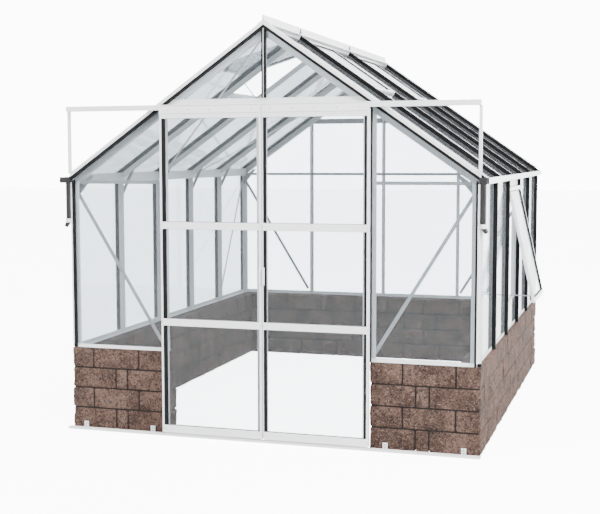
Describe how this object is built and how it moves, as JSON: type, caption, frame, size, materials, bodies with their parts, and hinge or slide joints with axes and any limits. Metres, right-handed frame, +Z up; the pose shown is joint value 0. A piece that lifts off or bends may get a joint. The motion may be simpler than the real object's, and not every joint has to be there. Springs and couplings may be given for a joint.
{
  "type": "glass greenhouse on a dwarf stone wall",
  "caption": "Glass greenhouse with a light aluminium frame, black glazing strips, sliding double doors, roof vents and a side window, on a low wall of split stone.",
  "frame": {"origin": "on the ground at the middle of the doorway, on the underside of the door track, where the building rests", "axes": "+Z up, the front gable with the doors faces -Y, +X to the right of the doors as seen from in front"},
  "size_m": [3.2459, 3.879, 2.96],
  "materials": {
    "aluminium": "pale grey-white powder-coated aluminium profiles",
    "glass": "clear horticultural glass with a faint cool tint",
    "rubber": "matt charcoal rubber glazing strip with a fine groove",
    "stone": "rough split concrete-stone blocks, brown-grey with pinkish tints and dark joints",
    "black_plastic": "black moulded plastic rainwater fittings"
  },
  "bodies": {
    "root": {"wall_front_left": "stone", "wall_front_right": "stone", "wall_left": "stone", "wall_right": "stone", "wall_back": "stone", "gable_sills": "aluminium", "side_sills": "aluminium", "corner_posts": "aluminium", "side_bars": "aluminium", "door_jambs": "aluminium", "gable_bars": "aluminium", "eaves_gutters": "aluminium", "ridge": "aluminium", "end_rafters": "aluminium", "roof_bars": "aluminium", "door_header": "aluminium", "tie_bars": "aluminium", "front_glass": "glass", "back_glass": "glass", "side_glass_left": "glass", "side_glass_right": "glass", "roof_glass_left": "glass", "roof_glass_right": "glass", "vent_sills": "aluminium", "roof_vents": "aluminium", "vent_glass": "glass", "window_rails": "aluminium", "side_window": "aluminium", "window_glass": "glass", "stay_rods": "aluminium", "gable_braces": "aluminium", "side_braces": "aluminium", "roof_braces": "aluminium", "knee_braces": "aluminium", "gable_strips": "rubber", "side_strips": "rubber", "roof_strips": "rubber", "downpipes": "black_plastic", "top_track": "aluminium", "track_end_posts": "aluminium", "bottom_track": "aluminium"},
    "door_leaf_left": {"door_left": "aluminium", "door_glass_left": "glass"},
    "door_leaf_right": {"door_right": "aluminium", "door_glass_right": "glass"}
  },
  "joints": [
    {"name": "left_door_slide", "type": "slide", "parent": "root", "child": "door_leaf_left", "axis": [-1, 0, 0], "range_m": [0, 0.725]},
    {"name": "right_door_slide", "type": "slide", "parent": "root", "child": "door_leaf_right", "axis": [1, 0, 0], "range_m": [0, 0.725]}
  ]
}
